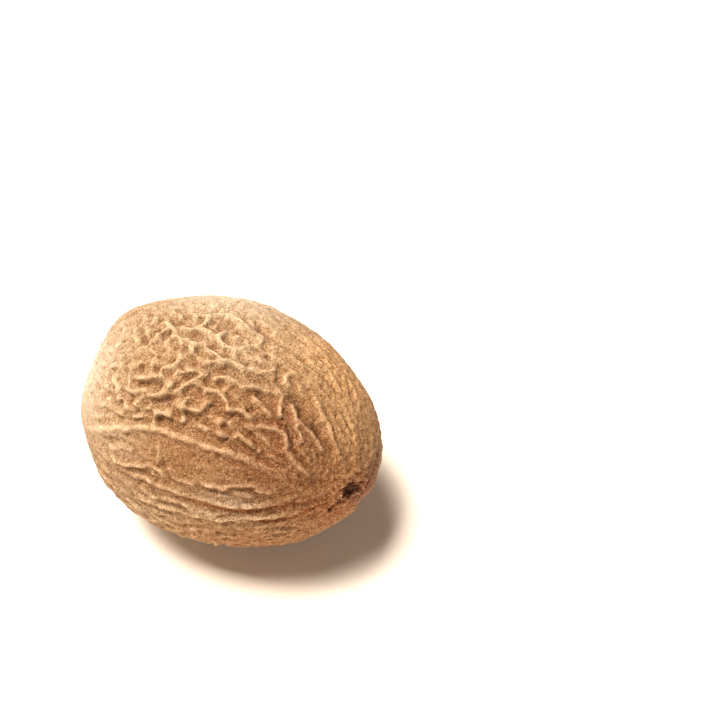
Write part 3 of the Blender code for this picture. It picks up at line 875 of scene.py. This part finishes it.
class Shading:
    """The nodes of a material, joined one by one."""

    def __init__(self, material):
        self.nodes, self.links = material.node_tree.nodes, material.node_tree.links
        self.where = self.nodes.new("ShaderNodeTexCoord").outputs["Object"]

    def plug(self, socket, value):
        """Sets a socket to a number or a colour, or links it to what comes out of another node."""
        if isinstance(value, (int, float, tuple)):
            socket.default_value = value
        else:
            self.links.new(value, socket)

    def attribute(self, name, output="Fac"):
        """What the mesh keeps for each point under a name."""
        node = self.nodes.new("ShaderNodeAttribute")
        node.attribute_name = name
        return node.outputs[output]

    def math(self, operation, a, b, clamp=False):
        """What an operation on two numbers gives, kept from 0 to 1 if clamped."""
        node = self.nodes.new("ShaderNodeMath")
        node.operation = operation
        node.use_clamp = clamp
        for socket, value in zip(node.inputs, (a, b)):
            self.plug(socket, value)
        return node.outputs[0]

    def mix(self, kind, factor, a, b):
        """Colour a with colour b laid over it by a factor."""
        node = self.nodes.new("ShaderNodeMix")
        node.data_type = "RGBA"
        node.blend_type = kind
        for name, value in (("Factor", factor), ("A", a), ("B", b)):
            named = [s for s in node.inputs if s.name == name and s.enabled]
            self.plug(next(s for s in named if s.type == "RGBA" or name == "Factor"), value)
        return next(s for s in node.outputs if s.type == "RGBA")

    def grain(self, size, detail, shift, roughness=0.5):
        """A fine noise through the seed, from 0 to 1."""
        node = self.nodes.new("ShaderNodeTexNoise")
        node.noise_dimensions = "4D"
        node.inputs["W"].default_value = shift
        node.inputs["Scale"].default_value = 1.0 / size
        node.inputs["Detail"].default_value = detail
        node.inputs["Roughness"].default_value = roughness
        self.links.new(self.where, node.inputs["Vector"])
        return node.outputs["Fac"]


def skin_colour(shading):
    """Colour of the skin, from its tint, with painted shade in the hollows and painted highlight on the
    crests, to the dark pit.
    """
    fine = shading.attribute("fine")
    broad = shading.attribute("broad")
    colour = shading.attribute("tint", "Color")
    # Crests are rubbed pale and lightened with painted highlight; furrows hold brown dust and are darkened
    # with painted shade.
    furrow = shading.math("MAXIMUM", shading.math("MULTIPLY", fine, -1.0), 0.0)
    valley = shading.math("MAXIMUM", shading.math("MULTIPLY", broad, -1.0), 0.0)
    # Painted shade in the furrows and valleys, partly brown dust.
    share = shading.math("MULTIPLY", furrow, FURROW_DUST_AND_SHADE, True)
    colour = shading.mix("MULTIPLY", share, colour, FURROW_DUST_AND_SHADE_COLOUR)
    share = shading.math("MULTIPLY", valley, VALLEY_DUST_AND_SHADE, True)
    colour = shading.mix("MULTIPLY", share, colour, VALLEY_DUST_AND_SHADE_COLOUR)
    # Painted highlight on the crests and hills, partly rubbed pale skin.
    crest = shading.math("MAXIMUM", shading.math("SUBTRACT", fine, CREST_START), 0.0)
    share = shading.math("MULTIPLY", crest, CREST_RUBBING_AND_HIGHLIGHT, True)
    colour = shading.mix("ADD", share, colour, CREST_RUBBED_AND_HIGHLIGHT_COLOUR)
    hill = shading.math("MAXIMUM", broad, 0.0)
    share = shading.math("MULTIPLY", hill, HILL_RUBBING_AND_HIGHLIGHT, True)
    colour = shading.mix("ADD", share, colour, HILL_RUBBED_AND_HIGHLIGHT_COLOUR)
    # Soft blotches, then specks: dark brown ones and cream ones.
    blotch = shading.math("SUBTRACT", shading.grain(*BLOTCH_GRAIN), BLOTCH_START)
    blotch = shading.math("MULTIPLY", blotch, BLOTCH_GAIN, True)
    colour = shading.mix("MULTIPLY", blotch, colour, BLOTCH_SHADE)
    # The dark specks crowd together in the hollows and on crumbly skin.
    in_furrows = shading.math("MULTIPLY", furrow, FURROW_CROWDING)
    in_valleys = shading.math("MULTIPLY", valley, VALLEY_CROWDING)
    crowd = shading.math("ADD", in_furrows, in_valleys)
    crumbly = shading.attribute("crumbly")
    crowd = shading.math("ADD", crowd, DARK_END)
    crowd = shading.math("ADD", crowd, shading.math("MULTIPLY", crumbly, CRUMBLY_CROWDING))
    dark = shading.math("SUBTRACT", crowd, shading.grain(*DARK_GRAIN))
    dark = shading.math("MULTIPLY", dark, DARK_GAIN, True)
    colour = shading.mix("MULTIPLY", dark, colour, DARK_SHADE)
    sparse = shading.math("SUBTRACT", PALE_START, shading.math("MULTIPLY", crumbly, CRUMBLY_CROWDING))
    pale = shading.math("SUBTRACT", shading.grain(*PALE_GRAIN), sparse)
    pale = shading.math("MULTIPLY", pale, PALE_GAIN, True)
    colour = shading.mix("ADD", pale, colour, PALE_LIGHT)
    pit = shading.math("MULTIPLY", shading.attribute("pit"), PIT_SHARE, True)
    return shading.mix("MIX", pit, colour, PIT_SHADE)


def skin_material():
    """The dry, dull skin of the seed."""
    material = bpy.data.materials.new("nutmeg_skin")
    material.use_nodes = True
    shader = material.node_tree.nodes["Principled BSDF"]
    shader.inputs["Specular IOR Level"].default_value = SPECULAR
    shading = Shading(material)
    shading.plug(shader.inputs["Base Color"], skin_colour(shading))
    rough = shading.math("MULTIPLY", shading.grain(*DULLNESS_GRAIN), DULLNESS_SPREAD)
    rough = shading.math("ADD", rough, DULLNESS_LEAST)
    shading.plug(shader.inputs["Roughness"], rough)
    bump_node = shading.nodes.new("ShaderNodeBump")
    bump_node.inputs["Strength"].default_value = GRAIN_STRENGTH
    bump_node.inputs["Distance"].default_value = GRAIN_HEIGHT
    shading.plug(bump_node.inputs["Height"], shading.grain(*GRAIN))
    shading.plug(shader.inputs["Normal"], bump_node.outputs["Normal"])
    return material


def plain_material(name, colour, roughness):
    """One even colour."""
    material = bpy.data.materials.new(name)
    material.use_nodes = True
    shader = material.node_tree.nodes["Principled BSDF"]
    shader.inputs["Base Color"].default_value = (*colour, 1.0)
    shader.inputs["Roughness"].default_value = roughness
    return material


def studio(target):
    """A plain pale floor, a lamp overhead to the left, a low one in front, and a dim cream surround."""
    bpy.ops.mesh.primitive_plane_add(size=FLOOR_SIZE, location=(0.0, 0.0, 0.0))
    floor = bpy.context.object
    floor.name = "studio_floor"
    floor.data.materials.append(plain_material("studio_floor", FLOOR_COLOUR, FLOOR_ROUGHNESS))
    for name, place, size, power in LAMPS:
        lamp = bpy.data.lights.new(name, "AREA")
        lamp.size = size
        lamp.energy = power
        lamp.color = LAMP_COLOUR
        light = bpy.data.objects.new(name, lamp)
        light.location = place
        light.rotation_euler = (target - Vector(place)).to_track_quat("-Z", "Y").to_euler()
        bpy.context.scene.collection.objects.link(light)
    world = bpy.data.worlds.new("studio_cream")
    world.use_nodes = True
    world.node_tree.nodes["Background"].inputs["Color"].default_value = SURROUND_COLOUR
    world.node_tree.nodes["Background"].inputs["Strength"].default_value = SURROUND_STRENGTH
    bpy.context.scene.world = world
    bpy.context.scene.view_settings.view_transform = "Standard"


def camera(middle):
    """The camera in front of the seed and above it, which has the seed low on the left."""
    a, e = math.radians(AZIMUTH), math.radians(ELEVATION)
    back = Vector((math.sin(a) * math.cos(e), -math.cos(a) * math.cos(e), math.sin(e)))
    right = Vector((math.cos(a), math.sin(a), 0.0))
    up = back.cross(right)
    data = bpy.data.cameras.new("camera")
    data.lens = LENS
    data.sensor_width = SENSOR_WIDTH
    data.clip_start = NEAREST
    data.clip_end = FARTHEST
    view = bpy.data.objects.new("camera", data)
    view.location = middle + LEFT * right + DOWN * up + DISTANCE * back
    view.rotation_euler = back.to_track_quat("Z", "Y").to_euler()
    bpy.context.scene.collection.objects.link(view)
    bpy.context.scene.camera = view


def main():
    """Dresses the solid in its skin and sets up the studio."""
    mesh, middle = seed_mesh()
    skin = with_fewer_faces(mesh, "nutmeg_skin")
    skin.data.materials.append(skin_material())
    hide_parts("nutmeg")
    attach(skin, "root")
    camera(Vector(middle))
    studio(Vector(middle))


main()
